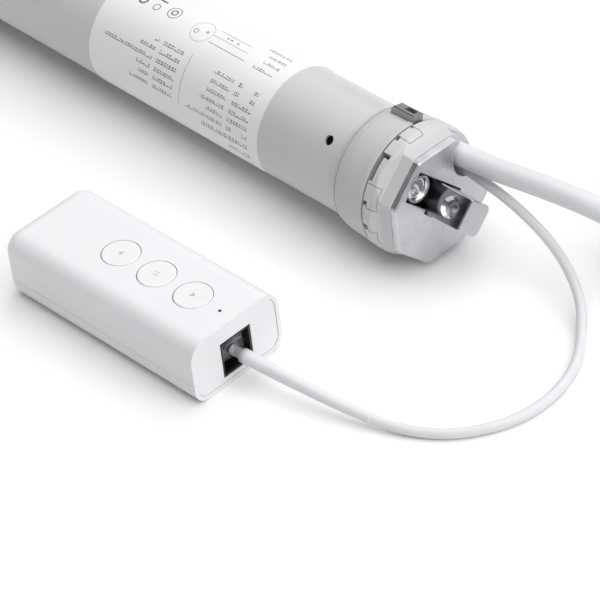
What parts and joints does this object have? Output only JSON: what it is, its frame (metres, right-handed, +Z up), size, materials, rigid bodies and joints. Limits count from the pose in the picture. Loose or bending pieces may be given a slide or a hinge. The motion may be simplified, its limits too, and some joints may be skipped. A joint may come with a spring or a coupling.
{
  "type": "roller shutter motor",
  "caption": "Tubular roller shutter motor with square stub head, key-notched crown ring, drive wheel, planetary gearbox, power lead and a wired push-button controller.",
  "frame": {"origin": "on the motor axis at the outer face of the head plate", "axes": "+X along the square stub, out of the head; the tube runs to -X; +Z up, the motor and its controller lie on the plane z = -0.020"},
  "size_m": [0.5943, 0.2022, 0.0416],
  "materials": {
    "tube_paint": "satin powder coat",
    "label_film": "printed film",
    "head_plastic": "moulded, fine texture",
    "crown_plastic": "moulded, fine texture",
    "dark_plastic": "moulded",
    "zinc_steel": "zinc plated",
    "dark_steel": "phosphated",
    "bright_steel": "bright",
    "lamination": "laminated",
    "copper": "enamelled wire",
    "magnet": "sintered",
    "circuit_board": "solder mask",
    "aluminium_can": "drawn",
    "die_cast": "die cast",
    "gear_steel": "ground",
    "bronze": "sintered",
    "controller_plastic": "satin white",
    "button_plastic": "satin white",
    "jack_plastic": "moulded",
    "clear_plastic": "clear",
    "cable_sheath": "soft PVC",
    "core_insulation": "PVC"
  },
  "bodies": {
    "root": {"motor_tube": "tube_paint", "rating_label": "label_film", "tube_screws": "dark_steel", "head_plate": "zinc_steel", "square_stub": "zinc_steel", "stub_set_screw": "dark_steel", "torque_plate": "dark_steel", "screw_cup": "bright_steel", "plate_screw": "bright_steel", "head_cap": "head_plastic", "head_core": "dark_plastic", "cable_grommet": "dark_plastic", "limit_board": "circuit_board", "capacitor": "aluminium_can", "brake_coil": "copper", "stator_core": "lamination", "stator_windings": "copper", "motor_end_bells": "die_cast", "rotor_bearings": "bright_steel", "ring_gear": "gear_steel", "output_bearing": "die_cast", "controller_top": "controller_plastic", "controller_base": "controller_plastic", "end_panel": "controller_plastic", "controller_board": "circuit_board", "tact_switches": "bright_steel", "jack_housing": "jack_plastic", "status_light": "dark_plastic", "controller_screws": "dark_steel", "power_cable": "cable_sheath", "power_cable_coil": "cable_sheath", "power_cores": "core_insulation", "control_cable": "cable_sheath", "control_cable_boot": "cable_sheath", "modular_plug": "clear_plastic"},
    "crown": {"crown_ring": "crown_plastic", "crown_key": "dark_plastic", "crown_magnets": "magnet"},
    "rotor": {"rotor_core": "lamination", "rotor_shaft": "gear_steel", "brake_disc": "dark_steel"},
    "brake_plate": {"brake_armature": "gear_steel"},
    "stage_1": {"carrier_1": "gear_steel"},
    "stage_2": {"carrier_2": "gear_steel"},
    "output": {"output_shaft": "gear_steel", "drive_wheel": "crown_plastic", "wheel_clip": "bright_steel"},
    "up_button": {"button_up": "button_plastic"},
    "pause_button": {"button_pause": "button_plastic"},
    "down_button": {"button_down": "button_plastic"},
    "planet_1_a": {"planet_1_a": "gear_steel"},
    "planet_1_b": {"planet_1_b": "gear_steel"},
    "planet_1_c": {"planet_1_c": "gear_steel"},
    "planet_2_a": {"planet_2_a": "gear_steel"},
    "planet_2_b": {"planet_2_b": "gear_steel"},
    "planet_2_c": {"planet_2_c": "gear_steel"},
    "planet_3_a": {"planet_3_a": "gear_steel"},
    "planet_3_b": {"planet_3_b": "gear_steel"},
    "planet_3_c": {"planet_3_c": "gear_steel"}
  },
  "joints": [
    {"name": "output_turn", "type": "hinge", "parent": "root", "child": "output", "pos_m": [-0.43, 0, 0], "axis": [1, 0, 0], "continuous": true},
    {"name": "crown_turn", "type": "hinge", "parent": "root", "child": "crown", "pos_m": [-0.019, 0, 0], "axis": [1, 0, 0], "continuous": true},
    {"name": "stage_2_turn", "type": "hinge", "parent": "root", "child": "stage_2", "pos_m": [-0.3775, 0, 0], "axis": [1, 0, 0], "continuous": true},
    {"name": "stage_1_turn", "type": "hinge", "parent": "root", "child": "stage_1", "pos_m": [-0.359, 0, 0], "axis": [1, 0, 0], "continuous": true},
    {"name": "rotor_turn", "type": "hinge", "parent": "root", "child": "rotor", "pos_m": [-0.27, 0, 0], "axis": [1, 0, 0], "continuous": true},
    {"name": "brake_release", "type": "slide", "parent": "root", "child": "brake_plate", "axis": [1, 0, 0], "range_m": [0, 0.0004], "stiffness_N_per_m": 6000, "springref_m": -0.0005},
    {"name": "planet_1_a_turn", "type": "hinge", "parent": "stage_1", "child": "planet_1_a", "pos_m": [-0.353, 0, 0.00825], "axis": [1, 0, 0], "continuous": true},
    {"name": "planet_1_b_turn", "type": "hinge", "parent": "stage_1", "child": "planet_1_b", "pos_m": [-0.353, -0.00714, -0.00413], "axis": [1, 0, 0], "continuous": true},
    {"name": "planet_1_c_turn", "type": "hinge", "parent": "stage_1", "child": "planet_1_c", "pos_m": [-0.353, 0.00714, -0.00413], "axis": [1, 0, 0], "continuous": true},
    {"name": "planet_2_a_turn", "type": "hinge", "parent": "stage_2", "child": "planet_2_a", "pos_m": [-0.369, 0, 0.00825], "axis": [1, 0, 0], "continuous": true},
    {"name": "planet_2_b_turn", "type": "hinge", "parent": "stage_2", "child": "planet_2_b", "pos_m": [-0.369, -0.00714, -0.00413], "axis": [1, 0, 0], "continuous": true},
    {"name": "planet_2_c_turn", "type": "hinge", "parent": "stage_2", "child": "planet_2_c", "pos_m": [-0.369, 0.00714, -0.00413], "axis": [1, 0, 0], "continuous": true},
    {"name": "planet_3_a_turn", "type": "hinge", "parent": "output", "child": "planet_3_a", "pos_m": [-0.391, 0, 0.00825], "axis": [1, 0, 0], "continuous": true},
    {"name": "planet_3_b_turn", "type": "hinge", "parent": "output", "child": "planet_3_b", "pos_m": [-0.391, -0.00714, -0.00413], "axis": [1, 0, 0], "continuous": true},
    {"name": "planet_3_c_turn", "type": "hinge", "parent": "output", "child": "planet_3_c", "pos_m": [-0.391, 0.00714, -0.00413], "axis": [1, 0, 0], "continuous": true},
    {"name": "up_press", "type": "slide", "parent": "root", "child": "up_button", "axis": [0, 0, -1], "range_m": [0, 0.0004], "stiffness_N_per_m": 900, "springref_m": -0.0003},
    {"name": "pause_press", "type": "slide", "parent": "root", "child": "pause_button", "axis": [0, 0, -1], "range_m": [0, 0.0004], "stiffness_N_per_m": 900, "springref_m": -0.0003},
    {"name": "down_press", "type": "slide", "parent": "root", "child": "down_button", "axis": [0, 0, -1], "range_m": [0, 0.0004], "stiffness_N_per_m": 900, "springref_m": -0.0003}
  ],
  "couplings": [
    {"joint": "stage_2_turn", "follows": "output_turn", "ratio": 5.5},
    {"joint": "stage_1_turn", "follows": "output_turn", "ratio": 30.25},
    {"joint": "rotor_turn", "follows": "output_turn", "ratio": 166.38},
    {"joint": "planet_1_a_turn", "follows": "output_turn", "ratio": -77.786},
    {"joint": "planet_1_b_turn", "follows": "output_turn", "ratio": -77.786},
    {"joint": "planet_1_c_turn", "follows": "output_turn", "ratio": -77.786},
    {"joint": "planet_2_a_turn", "follows": "output_turn", "ratio": -14.143},
    {"joint": "planet_2_b_turn", "follows": "output_turn", "ratio": -14.143},
    {"joint": "planet_2_c_turn", "follows": "output_turn", "ratio": -14.143},
    {"joint": "planet_3_a_turn", "follows": "output_turn", "ratio": -2.5714},
    {"joint": "planet_3_b_turn", "follows": "output_turn", "ratio": -2.5714},
    {"joint": "planet_3_c_turn", "follows": "output_turn", "ratio": -2.5714}
  ]
}
